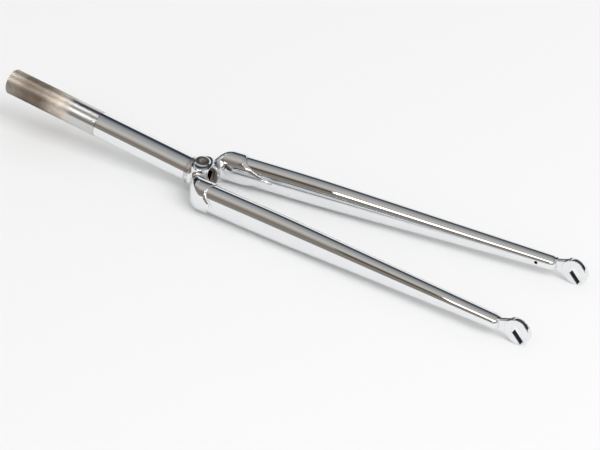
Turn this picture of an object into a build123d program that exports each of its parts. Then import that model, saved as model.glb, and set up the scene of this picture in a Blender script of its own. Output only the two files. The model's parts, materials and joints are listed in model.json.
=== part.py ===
from build123d import *
from math import asin, atan2, cos, degrees, radians, sin, sqrt, tan
import os

# A rigid bicycle fork of brazed steel, lying on its back: front up, ends to +X, floor at Z = 0.
# Sizes are in millimetres. Lengths along the steerer are measured from the crown race shoulder,
# positive towards the fork ends.

# Steerer tube
steerer_od = 25.4
steerer_wall = 1.6
steerer_above_seat = 217.2
steerer_in_crown = 13.8
steerer_end_chamfer = 0.5

# Fork geometry
axle_to_crown = 375.8
rake = 49.0
hub_spacing = 100.0

# Crown neck, race seat and nose
race_seat_wall = 0.5
race_seat_height = 5.2
race_ledge = 1.5
neck_edge = 0.7
nose_step = 1.7
nose_past_steerer = 0.7
nose_flank_angle = 60.0
port_d = 14.0
port_angle = 42.0
port_edge = 1.4
nose_bore_ledge = 2.6
nose_bore_depth = 3.0

# Brake bolt
brake_hole_place = 7.3
brake_boss_d = 14.0
brake_front_stand = 1.9
brake_rear_stand = 0.9
brake_front_d = 6.2
brake_rear_d = 8.2
brake_boss_edge = 0.8

# Blades, oval at the crown and round at the tip
blade_width = 21.5
blade_depth = 30.0
blade_tip_d = 14.2
blade_wall = 1.1
blade_spacing_at_crown = 53.0
tip_to_axle = 16.73
blade_straight = 107.0
blade_tip_round = 6.0
blade_solid_tip = 15.0
vent_d = 3.0
vent_from_tip = 19.0

# Crown sockets, shoulders and lug points
socket_wall = 1.5
shoulder_place = 13.0
shoulder_angle = 32.5
shoulder_wall = 4.0
shoulder_edge = 4.5
socket_edge = 33.0
web_thickness = 17.0
web_top = 1.0
web_past_nose = 5.0
web_reach = 20.0
web_round = 3.5

# Edge of each lug from the socket's edge to its tip: place down the blade, share of the half depth
outer_lug = ((31.2, 0.73), (33.5, 0.44), (40.5, 0.06))
inner_lug = ((38.0, 0.73), (46.0, 0.48), (65.0, 0.18))

# Fork ends
end_thickness = 6.0
end_radius = 11.6
end_lip = 2.4
end_chamfer = 0.7
tab_thickness = 4.8
tab_width = 12.0
tab_depth = 12.0
slot_width = 9.0
slot_angle = 50.0
neck_gap = 0.3
neck_root = 0.3

SIDES = {"left": 1, "right": -1}
FAR = 4 * axle_to_crown

# Derived sizes
steerer_radius = steerer_od / 2
race_seat_radius = steerer_radius + race_seat_wall
neck_radius = race_seat_radius + race_ledge
nose_radius = steerer_radius - nose_step
nose_place = steerer_in_crown + nose_past_steerer
nose_bore_radius = steerer_radius - steerer_wall - nose_bore_ledge
brake_front_reach = neck_radius + brake_front_stand
brake_rear_reach = neck_radius + brake_rear_stand
web_bottom = nose_place + web_past_nose
blade_start_offset = blade_spacing_at_crown / 2
end_middle = hub_spacing / 2 + end_thickness / 2
rake_angle = degrees(atan2(rake, axle_to_crown - brake_hole_place))
axle_run = (axle_to_crown - brake_hole_place) / cos(radians(rake_angle))
splay_angle = degrees(atan2(end_middle - blade_start_offset, axle_run - tip_to_axle))
blade_length = (axle_run - tip_to_axle) / cos(radians(splay_angle))
dome_flat = blade_tip_d / 2 - blade_tip_round
dome_reach = sqrt(blade_tip_round**2 - (tab_width / 2 - dome_flat) ** 2)
neck_start = dome_reach + neck_gap - tip_to_axle - blade_tip_round
socket_half_width = blade_width / 2 + socket_wall
socket_half_depth = blade_depth / 2 + socket_wall

# Rest on the floor: the rear edges of the sockets and the lips of the fork ends touch it
slot_turn = radians(slot_angle)
lip_drop = end_radius + end_lip * sin(slot_turn)
rest_run = axle_run - socket_edge * cos(radians(splay_angle))
rest_slope = degrees(asin((socket_half_depth - lip_drop) / rest_run))
tilt = radians(rake_angle + rest_slope)

# The fork's own directions: down the steerer, across to the left blade, and to the front
down = Vector(cos(tilt), 0, -sin(tilt))
across = Vector(0, 1, 0)
front = Vector(sin(tilt), 0, cos(tilt))

# The box's middle in X is at the origin
top_radius = steerer_radius - steerer_end_chamfer
steerer_top_x = -steerer_above_seat * cos(tilt) - top_radius * sin(tilt)
axle_x = axle_to_crown * cos(tilt) + rake * sin(tilt)
axle_z = -axle_to_crown * sin(tilt) + rake * cos(tilt)
last_x = axle_x + end_lip * cos(slot_turn) + end_radius
seat = Vector(-(steerer_top_x + last_x) / 2, 0, lip_drop - axle_z)


def at(along, aside=0.0, forward=0.0):
    """A point of the fork, from the crown race shoulder."""
    return seat + down * along + across * aside + front * forward


def blade_frame(side):
    """Origin of a blade's axis, its direction and its outward direction."""
    rake_turn = radians(rake_angle)
    splay_turn = radians(splay_angle)
    level = down * cos(rake_turn) + front * sin(rake_turn)
    along = level * cos(splay_turn) + across * (side * sin(splay_turn))
    outward = across * (side * cos(splay_turn)) - level * sin(splay_turn)
    return at(brake_hole_place, side * blade_start_offset), along, outward


def blade_section(side, distance):
    """Plane across a blade at a distance down its axis."""
    origin, along, outward = blade_frame(side)
    return Plane(origin=origin + along * distance, x_dir=outward, z_dir=along)


def blade_side(side):
    """Plane through a blade's axis that is seen from outside."""
    origin, along, outward = blade_frame(side)
    return Plane(origin=origin, x_dir=along, z_dir=outward)


def shoulder_plane(side, depth=0.0):
    """Plane of a sloping shoulder, or one that lies deeper by a wall."""
    turn = radians(shoulder_angle)
    upward = down * -cos(turn) + across * (side * sin(turn))
    middle = at(shoulder_place, side * blade_start_offset)
    return Plane(origin=middle - upward * depth, x_dir=front, z_dir=upward)


def oval(half_width, half_depth):
    """An oval of four arcs that meet at 45 degrees, drawn in the open sketch."""
    half_turn = radians(22.5)
    turn = radians(45)
    end_arc = (half_width - half_depth * tan(half_turn)) / (cos(turn) - tan(half_turn) * (1 - sin(turn)))
    side_arc = (half_depth - end_arc * (1 - sin(turn))) / sin(turn)
    x = half_width - side_arc * (1 - cos(turn))
    y = side_arc * sin(turn)
    with BuildLine() as outline:
        ThreePointArc((x, y), (0, half_depth), (-x, y))
        ThreePointArc((-x, y), (-half_width, 0), (-x, -y))
        ThreePointArc((-x, -y), (0, -half_depth), (x, -y))
        ThreePointArc((x, -y), (half_width, 0), (x, y))
    make_face(outline.edges())


def oval_bar(side, grow, first, last):
    """A straight bar with the blade's oval section, grown by a wall."""
    with BuildPart() as bar:
        with BuildSketch(blade_section(side, first)):
            oval(blade_width / 2 + grow, blade_depth / 2 + grow)
        extrude(amount=last - first)
    return bar.part


def blade_form(side, inset, last):
    """The blade's outer form, or one inset by a wall, down to a distance."""
    tip_radius = blade_tip_d / 2
    share = (last - blade_straight) / (blade_length - blade_straight)
    end_width = blade_width / 2 + share * (tip_radius - blade_width / 2)
    end_depth = blade_depth / 2 + share * (tip_radius - blade_depth / 2)
    straight = oval_bar(side, -inset, -socket_half_depth, blade_straight)
    with BuildPart() as form:
        with BuildSketch(blade_section(side, blade_straight)):
            oval(blade_width / 2 - inset, blade_depth / 2 - inset)
        with BuildSketch(blade_section(side, last)):
            oval(end_width - inset, end_depth - inset)
        loft(ruled=True)
        add(straight)
    return form.part


def lug_cut(side, lug, away):
    """The material cut away past a socket's edge, which leaves one lug on one side of the blade."""
    half = socket_half_depth + socket_wall
    with BuildPart() as waste:
        with BuildSketch(blade_side(side)):
            for turn in (1, -1):
                edge = [(place, turn * share * socket_half_depth) for place, share in lug]
                with BuildLine():
                    Spline((socket_edge, turn * half), *edge)
                    Polyline(edge[-1], (edge[-1][0], 0), (FAR, 0), (FAR, turn * half), (socket_edge, turn * half))
                make_face()
        extrude(amount=away * 2 * socket_half_width)
    return waste.part


def socket_body(side):
    """One blade socket with its sloping shoulder and its two lug points."""
    solid = oval_bar(side, socket_wall, -socket_half_depth, inner_lug[-1][0])
    waste_outer = lug_cut(side, outer_lug, 1)
    waste_inner = lug_cut(side, inner_lug, -1)
    with BuildPart() as body:
        add(solid)
        split(bisect_by=shoulder_plane(side), keep=Keep.BOTTOM)
        shoulder_face = body.faces().sort_by(Axis(at(0), shoulder_plane(side).z_dir))[-1]
        fillet(shoulder_face.edges(), radius=shoulder_edge)
        add(waste_outer, mode=Mode.SUBTRACT)
        add(waste_inner, mode=Mode.SUBTRACT)
    return body.part


def socket_room(side):
    """The room that a blade fills in its socket, closed by the mitred shoulder wall."""
    solid = oval_bar(side, 0, -socket_half_depth, inner_lug[-1][0] + socket_half_depth)
    with BuildPart() as room:
        add(solid)
        split(bisect_by=shoulder_plane(side, shoulder_wall), keep=Keep.BOTTOM)
    return room.part


def crown_web():
    """The arms between the neck and the sockets, rounded along their front and rear edges."""
    rise = tan(radians(shoulder_angle))
    web_corner = shoulder_place + socket_wall - (blade_start_offset - web_reach) * rise
    web_flat = web_reach - (web_corner - web_top) / rise
    with BuildPart() as web:
        with BuildSketch(front_view):
            with BuildLine():
                Polyline((web_top, web_flat), (web_corner, web_reach), (web_bottom, web_reach),
                         (web_bottom, -web_reach), (web_corner, -web_reach), (web_top, -web_flat), close=True)
            make_face()
        extrude(amount=web_thickness / 2, both=True)
        web_faces = web.faces().sort_by(Axis(at(0), front))
        fillet(web_faces[0].edges() + web_faces[-1].edges(), radius=web_round)
    return web.part


def brake_drill():
    """The stepped brake bolt hole through the crown and the steerer."""
    with BuildPart() as drill:
        with BuildSketch(Plane(origin=at(brake_hole_place), x_dir=down, z_dir=front)):
            Circle(brake_front_d / 2)
        extrude(amount=2 * brake_front_reach)
        with BuildSketch(Plane(origin=at(brake_hole_place), x_dir=down, z_dir=front)):
            Circle(brake_rear_d / 2)
        extrude(amount=-2 * brake_rear_reach)
    return drill.part


def end_plane(side):
    """Middle plane of a fork end, from the axle: X along the blade, Y to the rear."""
    turn = radians(rake_angle)
    level = down * cos(turn) + front * sin(turn)
    return Plane(origin=at(axle_to_crown, side * end_middle, rake), x_dir=level, z_dir=across)


def end_boss():
    """Outline of the fork end's boss, drawn in the open sketch."""
    lip_turn = radians(slot_angle - rest_slope)
    with Locations((end_lip / 2 * cos(lip_turn), end_lip / 2 * sin(lip_turn))):
        SlotCenterToCenter(end_lip, 2 * end_radius, rotation=slot_angle - rest_slope)


def end_tab(side, past_tip):
    """The tab that sits in the blade tip, from its inner end to a distance past the tip."""
    with BuildPart() as tab:
        with BuildSketch(end_plane(side)):
            with Locations((-tip_to_axle - tab_depth, 0)):
                Rectangle(tab_depth + past_tip, tab_width, align=(Align.MIN, Align.CENTER))
        extrude(amount=tab_thickness / 2, both=True)
    return tab.part


steerer_axis = Axis(at(0), down)
side_view = Plane(origin=seat, x_dir=down, z_dir=-across)
front_view = Plane(origin=seat, x_dir=down, z_dir=front)
drill = brake_drill()

# Steerer tube
with BuildPart() as steerer:
    with BuildSketch(side_view):
        with BuildLine():
            Polyline((-steerer_above_seat, steerer_radius - steerer_wall),
                     (-steerer_above_seat, steerer_radius),
                     (steerer_in_crown, steerer_radius),
                     (steerer_in_crown, steerer_radius - steerer_wall), close=True)
        make_face()
    revolve(axis=steerer_axis)
    top_face = steerer.faces().sort_by(steerer_axis)[0]
    chamfer(top_face.edges(), length=steerer_end_chamfer)
    add(drill, mode=Mode.SUBTRACT)

# Fork crown: neck and nose turned about the steerer, sockets, web and brake bosses
flank = radians(nose_flank_angle)
nose_joint = (nose_place + nose_radius * cos(flank), nose_radius * sin(flank))
flank_top = nose_joint[0] - (neck_radius - nose_joint[1]) * tan(flank)
nose_middle = (nose_place + nose_radius * cos(flank / 2), nose_radius * sin(flank / 2))
nose_tip = nose_place + nose_radius
port_turn = radians(port_angle)
port_out = down * cos(port_turn) + front * sin(port_turn)
port_radius = port_d / 2
rim_radius = port_radius + port_edge
rim_place = sqrt(nose_radius**2 - rim_radius**2)
rim_middle = (rim_place + port_edge * sin(radians(45)), rim_radius - port_edge * cos(radians(45)))

web = crown_web()
with BuildPart() as crown:
    with BuildSketch(side_view):
        with BuildLine():
            Polyline((-race_seat_height, 0), (-race_seat_height, race_seat_radius), (0, race_seat_radius),
                     (0, neck_radius - neck_edge), (neck_edge, neck_radius), (flank_top, neck_radius), nose_joint)
            ThreePointArc(nose_joint, nose_middle, (nose_tip, 0))
            Line((nose_tip, 0), (-race_seat_height, 0))
        make_face()
    revolve(axis=steerer_axis)
    for reach in (brake_front_reach, -brake_rear_reach):
        with BuildSketch(Plane(origin=at(brake_hole_place), x_dir=down, z_dir=front)):
            Circle(brake_boss_d / 2)
        extrude(amount=reach)
    boss_faces = crown.faces().sort_by(Axis(at(0), front))
    fillet(boss_faces[0].edges() + boss_faces[-1].edges(), radius=brake_boss_edge)
    add(web)
    for side in SIDES.values():
        add(socket_body(side))
    with BuildSketch(Plane(origin=at(-2 * race_seat_height), x_dir=front, z_dir=down)):
        Circle(steerer_radius)
    extrude(amount=steerer_in_crown + 2 * race_seat_height, mode=Mode.SUBTRACT)
    with BuildSketch(Plane(origin=at(steerer_in_crown), x_dir=front, z_dir=down)):
        Circle(nose_bore_radius)
    extrude(amount=nose_bore_depth, mode=Mode.SUBTRACT)
    with BuildSketch(Plane(origin=at(nose_place), x_dir=port_out, z_dir=across)):
        with BuildLine():
            Polyline((rim_place + port_edge, rim_radius), (2 * nose_radius, rim_radius), (2 * nose_radius, 0),
                     (0, 0), (0, port_radius), (rim_place, port_radius))
            ThreePointArc((rim_place, port_radius), rim_middle, (rim_place + port_edge, rim_radius))
        make_face()
    revolve(axis=Axis(at(nose_place), port_out), mode=Mode.SUBTRACT)
    add(drill, mode=Mode.SUBTRACT)
    for side in SIDES.values():
        add(socket_room(side), mode=Mode.SUBTRACT)

# Blades: hollow, mitred under the shoulder, domed and slotted at the solid tip
blades = {}
for name, side in SIDES.items():
    outer = blade_form(side, 0, blade_length)
    inner = blade_form(side, blade_wall, blade_length - blade_solid_tip)
    tab_room = end_tab(side, blade_tip_d)
    blade_top = blade_section(side, 0)
    with BuildPart() as blade:
        add(outer)
        tip_face = blade.faces().sort_by(Axis(blade_top.origin, blade_top.z_dir))[-1]
        fillet(tip_face.edges(), radius=blade_tip_round)
        split(bisect_by=shoulder_plane(side, shoulder_wall), keep=Keep.BOTTOM)
        add(inner, mode=Mode.SUBTRACT)
        add(tab_room, mode=Mode.SUBTRACT)
        with BuildSketch(blade_side(side)):
            with Locations((blade_length - vent_from_tip, 0)):
                Circle(vent_d / 2)
        extrude(amount=-blade_tip_d, mode=Mode.SUBTRACT)
    blade.part.label = name + "_blade"
    blades[name] = blade

# Fork ends: a slotted boss on a flared neck, with a tab in the blade tip
fork_ends = {}
for name, side in SIDES.items():
    tab = end_tab(side, neck_start + tip_to_axle)
    with BuildPart() as fork_end:
        with BuildSketch(end_plane(side)):
            end_boss()
        extrude(amount=end_thickness / 2, both=True)
        boss_faces = fork_end.faces().sort_by(Axis.Y)
        chamfer(boss_faces[0].edges() + boss_faces[-1].edges(), length=end_chamfer)
        with BuildSketch(end_plane(side)):
            end_boss()
            with Locations((neck_start, 0)):
                Rectangle(neck_root, tab_width, align=(Align.MIN, Align.CENTER))
            make_hull()
        extrude(amount=tab_thickness / 2, both=True)
        add(tab)
        with BuildSketch(end_plane(side)):
            Circle(slot_width / 2)
            with Locations(Location((0, 0, 0), slot_angle - rest_slope)):
                Rectangle(FAR, slot_width, align=(Align.MIN, Align.CENTER))
        extrude(amount=end_thickness, both=True, mode=Mode.SUBTRACT)
    fork_end.part.label = name + "_fork_end"
    fork_ends[name] = fork_end

steerer.part.label = "steerer_tube"
crown.part.label = "fork_crown"

os.makedirs("parts", exist_ok=True)
for piece in (steerer, crown, *blades.values(), *fork_ends.values()):
    export_step(piece.part, "parts/" + piece.part.label + ".step")
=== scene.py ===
import json
import logging
import math
from dataclasses import dataclass
from enum import Enum
from functools import cached_property
from typing import Callable, Dict, List, Sequence, Set, Tuple, Union

import bpy
import numpy as np
from mathutils import Matrix, Quaternion, Vector


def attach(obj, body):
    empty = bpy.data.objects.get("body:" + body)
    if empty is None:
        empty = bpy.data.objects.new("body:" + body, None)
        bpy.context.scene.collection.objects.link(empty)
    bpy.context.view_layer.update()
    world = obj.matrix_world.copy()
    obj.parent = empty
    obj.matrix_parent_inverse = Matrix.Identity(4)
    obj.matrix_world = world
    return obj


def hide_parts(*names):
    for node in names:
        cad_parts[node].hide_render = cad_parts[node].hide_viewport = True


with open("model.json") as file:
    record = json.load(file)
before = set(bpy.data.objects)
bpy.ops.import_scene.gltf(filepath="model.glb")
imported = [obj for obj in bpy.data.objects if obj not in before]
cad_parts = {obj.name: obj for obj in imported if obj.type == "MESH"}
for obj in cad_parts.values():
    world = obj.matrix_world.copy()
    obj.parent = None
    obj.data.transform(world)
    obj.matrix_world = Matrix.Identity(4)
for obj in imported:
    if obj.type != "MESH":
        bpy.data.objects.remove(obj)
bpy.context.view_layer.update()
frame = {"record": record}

# The looks of a chromed steel bicycle fork: steerer tube, lugged crown, tapered blades and fork ends.
# The pieces' sizes are in millimetres, and become metres when a mesh is made. The studio's are in metres.

Array = np.ndarray
Faces = Sequence[Sequence[int]]
Field = Callable[[Array], Array]
Range = Tuple[float, float]
Place = Tuple[float, float, float]
Colour = Tuple[float, float, float]
Stops = Sequence[Tuple[float, Colour]]
Socket = bpy.types.NodeSocket
Number = Union[Socket, float]
Paint = Union[Socket, Colour]

LOG = logging.getLogger("fork")
MM = 0.001
TINY = 1e-9
HALF_TURN = 180.0
FULL_TURN = 2 * math.pi
ANGLE_PARTS = 1000
ACROSS = np.array([0.0, 1.0, 0.0])
WHITE: Colour = (1.0, 1.0, 1.0)
WRAP = "around"
BODY = "root"


class Side(Enum):
    """The two sides of the fork, with the sign of their Y."""

    LEFT = 1
    RIGHT = -1

    @property
    def word(self) -> str:
        """The side's name as it is used in piece names."""
        return self.name.lower()


class Zone(Enum):
    """Names of the mesh attributes that tell a finish where it changes."""

    BARE = "bare_metal"
    SEAT = "race_seat"
    ALONG = "place_along"
    # Painted shade: how far the steerer's normal points to its lower side, which its finish paints darker
    UNDER = "underside"
    WORN = "worn_top"


# Shapes given as distance fields

def round_both(first: Array, second: Array, radius: float) -> Array:
    """Material that is in both fields, with a rounded edge where they meet.

    Args:
        first: Signed distances to one form.
        second: Signed distances to the other form.
        radius: Radius of the rounded edge.

    Returns:
        Signed distances to what both share.
    """
    a = first + radius
    b = second + radius
    outside = np.sqrt(np.maximum(a, 0.0) ** 2 + np.maximum(b, 0.0) ** 2)
    return np.minimum(np.maximum(a, b), 0.0) + outside - radius


def blend_union(first: Array, second: Array, reach: float) -> Array:
    """Joins two fields with a smooth hollow blend.

    Args:
        first: Signed distances to one form.
        second: Signed distances to the other form.
        reach: How far from the seam the blend starts.

    Returns:
        Signed distances to the joined form.
    """
    h = np.maximum(reach - np.abs(first - second), 0.0) / reach
    return np.minimum(first, second) - h * h * reach * 0.25


def ellipse_distance(x: Array, y: Array, half_x: float, half_y: float) -> Array:
    """Signed distance to an ellipse, true at its line and near it.

    Args:
        x: Place along the first half axis.
        y: Place along the second half axis.
        half_x: First half axis.
        half_y: Second half axis.

    Returns:
        Signed distances, negative inside.
    """
    level = np.sqrt((x / half_x) ** 2 + (y / half_y) ** 2)
    slope = np.sqrt((x / half_x**2) ** 2 + (y / half_y**2) ** 2)
    return level * (level - 1.0) / np.maximum(slope, TINY)


def fade(values: Array, start: float, width: float) -> Array:
    """Numbers that rise from 0 at a start to 1 a width further on."""
    return np.clip((values - start) / width, 0.0, 1.0)


class FieldMesher:
    """Turns a distance field into a fine, even mesh with true normals."""

    CORNERS = tuple((x, y, z) for z in (0, 1) for y in (0, 1) for x in (0, 1))
    REFINEMENTS = 3
    SETTLING_ROUNDS = 4
    # Shares of a grid cell: the longest move of a vertex at once, and a depth that only just counts as inside
    LONGEST_MOVE = 0.5
    BARELY = 0.001

    def __init__(self, shape: Field, low: Sequence[float], high: Sequence[float], pitch: float) -> None:
        """Keeps the field and the room to search.

        Args:
            shape: The distance field, in millimetres.
            low: Lowest corner of the room.
            high: Highest corner of the room.
            pitch: Size of a grid cell.
        """
        self.shape = shape
        self.low = np.array(low, float)
        self.high = np.array(high, float)
        self.pitch = pitch

    def gradient(self, points: Array, step: float = 0.02) -> Array:
        """The field's unit gradient.

        Args:
            points: Places to test.
            step: Half the distance between the two samples of a difference.

        Returns:
            One unit vector for each place.
        """
        columns = []
        for axis in range(3):
            offset = np.zeros(3)
            offset[axis] = step
            columns.append(self.shape(points + offset) - self.shape(points - offset))
        slope = np.stack(columns, axis=1)
        length = np.linalg.norm(slope, axis=1, keepdims=True)
        return slope / np.maximum(length, TINY)

    def samples(self) -> Tuple[Array, Array]:
        """The field's values on the grid.

        Returns:
            The values in a block, and the number of points along each axis.
        """
        counts = np.ceil((self.high - self.low) / self.pitch).astype(int) + 1
        axes = [self.low[i] + self.pitch * np.arange(counts[i]) for i in range(3)]
        values = np.empty(tuple(counts))
        plane = np.stack(np.meshgrid(axes[1], axes[2], indexing="ij"), axis=-1).reshape(-1, 2)
        for index, place in enumerate(axes[0]):
            points = np.column_stack([np.full(len(plane), place), plane])
            values[index] = self.shape(points).reshape(counts[1], counts[2])
        return values, counts

    def mesh(self) -> Tuple[Array, Array, Array]:
        """Meshes the field's zero surface.

        Returns:
            Vertices, quads and vertex normals.
        """
        values, counts = self.samples()
        self._settle(values)
        cells = tuple(counts - 1)
        total = np.zeros(cells + (3,))
        number = np.zeros(cells)
        for corner in self.CORNERS:
            for axis in range(3):
                if corner[axis]:
                    continue
                end = list(corner)
                end[axis] = 1
                first = self._shifted(values, corner, cells)
                second = self._shifted(values, end, cells)
                crossed = (first < 0.0) != (second < 0.0)
                share = np.where(crossed, first / np.where(crossed, first - second, 1.0), 0.0)
                for i in range(3):
                    place = corner[i] + (share if i == axis else 0.0)
                    total[..., i] += np.where(crossed, place, 0.0)
                number += crossed
        active = number > 0
        index = np.full(cells, -1)
        index[active] = np.arange(int(active.sum()))
        local = total[active] / number[active][:, None]
        vertices = self.low + self.pitch * (np.argwhere(active) + local)
        quads = np.concatenate([self._quads(values < 0.0, index, axis) for axis in range(3)])
        longest = self.LONGEST_MOVE * self.pitch
        for _ in range(self.REFINEMENTS):
            step = self.shape(vertices)[:, None] * self.gradient(vertices)
            vertices = vertices - np.clip(step, -longest, longest)
        return vertices, quads, self.gradient(vertices)

    def _settle(self, values: Array) -> None:
        """Fills grid squares that are inside only at two opposite corners, and drops lone points.

        Args:
            values: The field's values on the grid, changed in place.
        """
        barely = self.BARELY * self.pitch
        for axes in ((0, 1, 2), (1, 2, 0), (2, 0, 1)) * self.SETTLING_ROUNDS:
            turned = np.transpose(values, axes)
            inside = turned < 0.0
            one, two = inside[:-1, :-1], inside[1:, :-1]
            three, four = inside[1:, 1:], inside[:-1, 1:]
            for crossed, shift in (((one & three & ~two & ~four), 0), ((two & four & ~one & ~three), 1)):
                i, j, k = np.nonzero(crossed)
                first, second = (i + 1 - shift, j, k), (i + shift, j + 1, k)
                nearer = turned[first] < turned[second]
                turned[tuple(np.where(nearer, p, q) for p, q in zip(first, second))] = -barely
        inside = values < 0.0
        core = inside[1:-1, 1:-1, 1:-1]
        kept = np.zeros_like(core)
        for axis in range(3):
            for step in (-1, 1):
                kept |= np.roll(inside, step, axis)[1:-1, 1:-1, 1:-1]
        values[1:-1, 1:-1, 1:-1][core & ~kept] = barely

    @staticmethod
    def _shifted(values: Array, corner: Sequence[int], cells: Sequence[int]) -> Array:
        """The block of values at one corner of every cell."""
        return values[tuple(slice(corner[i], corner[i] + cells[i]) for i in range(3))]

    @staticmethod
    def _quads(inside: Array, index: Array, axis: int) -> Array:
        """Quads around every grid edge along one axis that crosses the surface.

        Args:
            inside: Whether each grid point is inside.
            index: Vertex number of each cell, or -1.
            axis: Direction of the grid edges.

        Returns:
            Quads of vertex numbers.
        """
        second, third = (axis + 1) % 3, (axis + 2) % 3
        first = np.moveaxis(inside, (axis, second, third), (0, 1, 2))
        number = np.moveaxis(index, (axis, second, third), (0, 1, 2))
        crossed = first[:-1, 1:-1, 1:-1] != first[1:, 1:-1, 1:-1]
        outward = first[:-1, 1:-1, 1:-1][crossed]
        i, j, k = np.nonzero(crossed)
        ring = [number[i, j, k], number[i, j + 1, k], number[i, j + 1, k + 1], number[i, j, k + 1]]
        quads = np.stack(ring, axis=1)
        quads[~outward] = quads[~outward][:, ::-1]
        return quads


# Where things are

@dataclass(frozen=True)
class ForkLines:
    """The fork's own directions and main places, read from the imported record.

    Lengths along the steerer count from the crown race shoulder, positive towards the fork ends.
    """

    shoulder: Array
    down: Array
    front: Array
    axle_along: float
    axle_forward: float
    slot_direction: Array
    blade_start_along: float
    end_middle: float
    blade_spacing: float = 53.0
    blade_length: float = 356.0

    @classmethod
    def from_record(cls, record: Dict) -> "ForkLines":
        """Reads the mounts that fix the fork's lines.

        Args:
            record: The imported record.

        Returns:
            The fork's lines.
        """
        mounts = {mount["name"]: mount for mount in record["mounts"]}
        seat = mounts["crown_race_seat"]
        down = -np.array(seat["axis"], float)
        shoulder = np.array(seat["pos_m"], float) / MM + down * seat["dims"]["length_mm"] / 2
        front = np.array([-down[2], 0.0, down[0]])
        axle = np.array(mounts["left_axle_slot"]["pos_m"], float) / MM - shoulder
        brake = np.array(mounts["brake_front_hole"]["pos_m"], float) / MM - shoulder
        return cls(
            shoulder=shoulder,
            down=down,
            front=front,
            axle_along=float(axle @ down),
            axle_forward=float(axle @ front),
            slot_direction=np.array(mounts["left_axle_slot"]["axis"], float),
            blade_start_along=float(brake @ down),
            end_middle=float(axle[1]),
        )

    @property
    def rake_angle(self) -> float:
        """Angle between the steerer and the blades, seen from the side."""
        return math.atan2(self.axle_forward, self.axle_along - self.blade_start_along)

    @property
    def splay_angle(self) -> float:
        """Angle by which each blade leaves the middle plane."""
        return math.asin((self.end_middle - self.blade_spacing / 2) / self.blade_length)

    @property
    def blade_way(self) -> Array:
        """Direction down the blades in fork coordinates, seen from the side."""
        return np.array([math.cos(self.rake_angle), 0.0, math.sin(self.rake_angle)])

    @property
    def blade_rear(self) -> Array:
        """Direction to the rear, square to the blades, in fork coordinates."""
        return np.array([math.sin(self.rake_angle), 0.0, -math.cos(self.rake_angle)])

    def to_row(self, points: Array) -> Array:
        """Places in fork coordinates (along, across, forward) as places in the row frame, in metres."""
        return (self.shoulder + self.turn_to_row(points)) * MM

    def turn_to_row(self, vectors: Array) -> Array:
        """Directions in fork coordinates as directions in the row frame."""
        return np.asarray(vectors) @ np.stack([self.down, ACROSS, self.front])


@dataclass(frozen=True)
class BladeLine:
    """The axis of one blade and its two directions across, in fork coordinates."""

    start: Array
    along: Array
    outward: Array
    forward: Array

    @classmethod
    def of(cls, lines: ForkLines, side: Side) -> "BladeLine":
        """Finds a blade's axis.

        Args:
            lines: The fork's lines.
            side: Which blade.

        Returns:
            The blade's axis and directions.
        """
        splay, sign, level = lines.splay_angle, side.value, lines.blade_way
        return cls(
            start=np.array([lines.blade_start_along, sign * lines.blade_spacing / 2, 0.0]),
            along=level * math.cos(splay) + ACROSS * sign * math.sin(splay),
            outward=ACROSS * sign * math.cos(splay) - level * math.sin(splay),
            forward=-lines.blade_rear,
        )

    def local(self, points: Array) -> Tuple[Array, Array, Array]:
        """Splits places in fork coordinates into lengths down the blade, outward and to the front."""
        offset = points - self.start
        return offset @ self.along, offset @ self.outward, offset @ self.forward

    def place(self, down: Array, outward: Array, forward: Array) -> Array:
        """The fork coordinates of places given by their three lengths."""
        parts = [np.multiply.outer(down, self.along), np.multiply.outer(outward, self.outward)]
        return self.start + parts[0] + parts[1] + np.multiply.outer(forward, self.forward)


# Meshes

def show(name: str, data: bpy.types.ID) -> bpy.types.Object:
    """Puts a mesh, a lamp or a camera into the scene.

    Args:
        name: The new object's name.
        data: What the object holds.

    Returns:
        The new object.
    """
    thing = bpy.data.objects.new(name, data)
    bpy.context.scene.collection.objects.link(thing)
    return thing


def make_object(lines: ForkLines, name: str, points: Array, faces: Faces, normals: Array) -> bpy.types.Object:
    """Makes a smooth mesh object with given normals.

    Args:
        lines: The fork's lines.
        name: The piece's name.
        points: Places of the vertices in fork coordinates.
        faces: Vertex numbers of each face.
        normals: One normal for each vertex, in fork coordinates.

    Returns:
        The new object.
    """
    mesh = bpy.data.meshes.new(name)
    mesh.from_pydata(lines.to_row(points).tolist(), [], [list(map(int, face)) for face in faces])
    mesh.polygons.foreach_set("use_smooth", [True] * len(mesh.polygons))
    mesh.update()
    mesh.normals_split_custom_set_from_vertices([tuple(n) for n in lines.turn_to_row(normals)])
    piece = show(name, mesh)
    LOG.info("%s: %d vertices, %d faces", name, len(mesh.vertices), len(mesh.polygons))
    return piece


def add_zone(piece: bpy.types.Object, zone: Zone, values: Array) -> None:
    """Stores a number at each vertex for the finish to read.

    Args:
        piece: The piece.
        zone: Which number it is.
        values: One value for each vertex.
    """
    attribute = piece.data.attributes.new(zone.value, "FLOAT", "POINT")
    attribute.data.foreach_set("value", np.asarray(values, np.float32))


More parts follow.
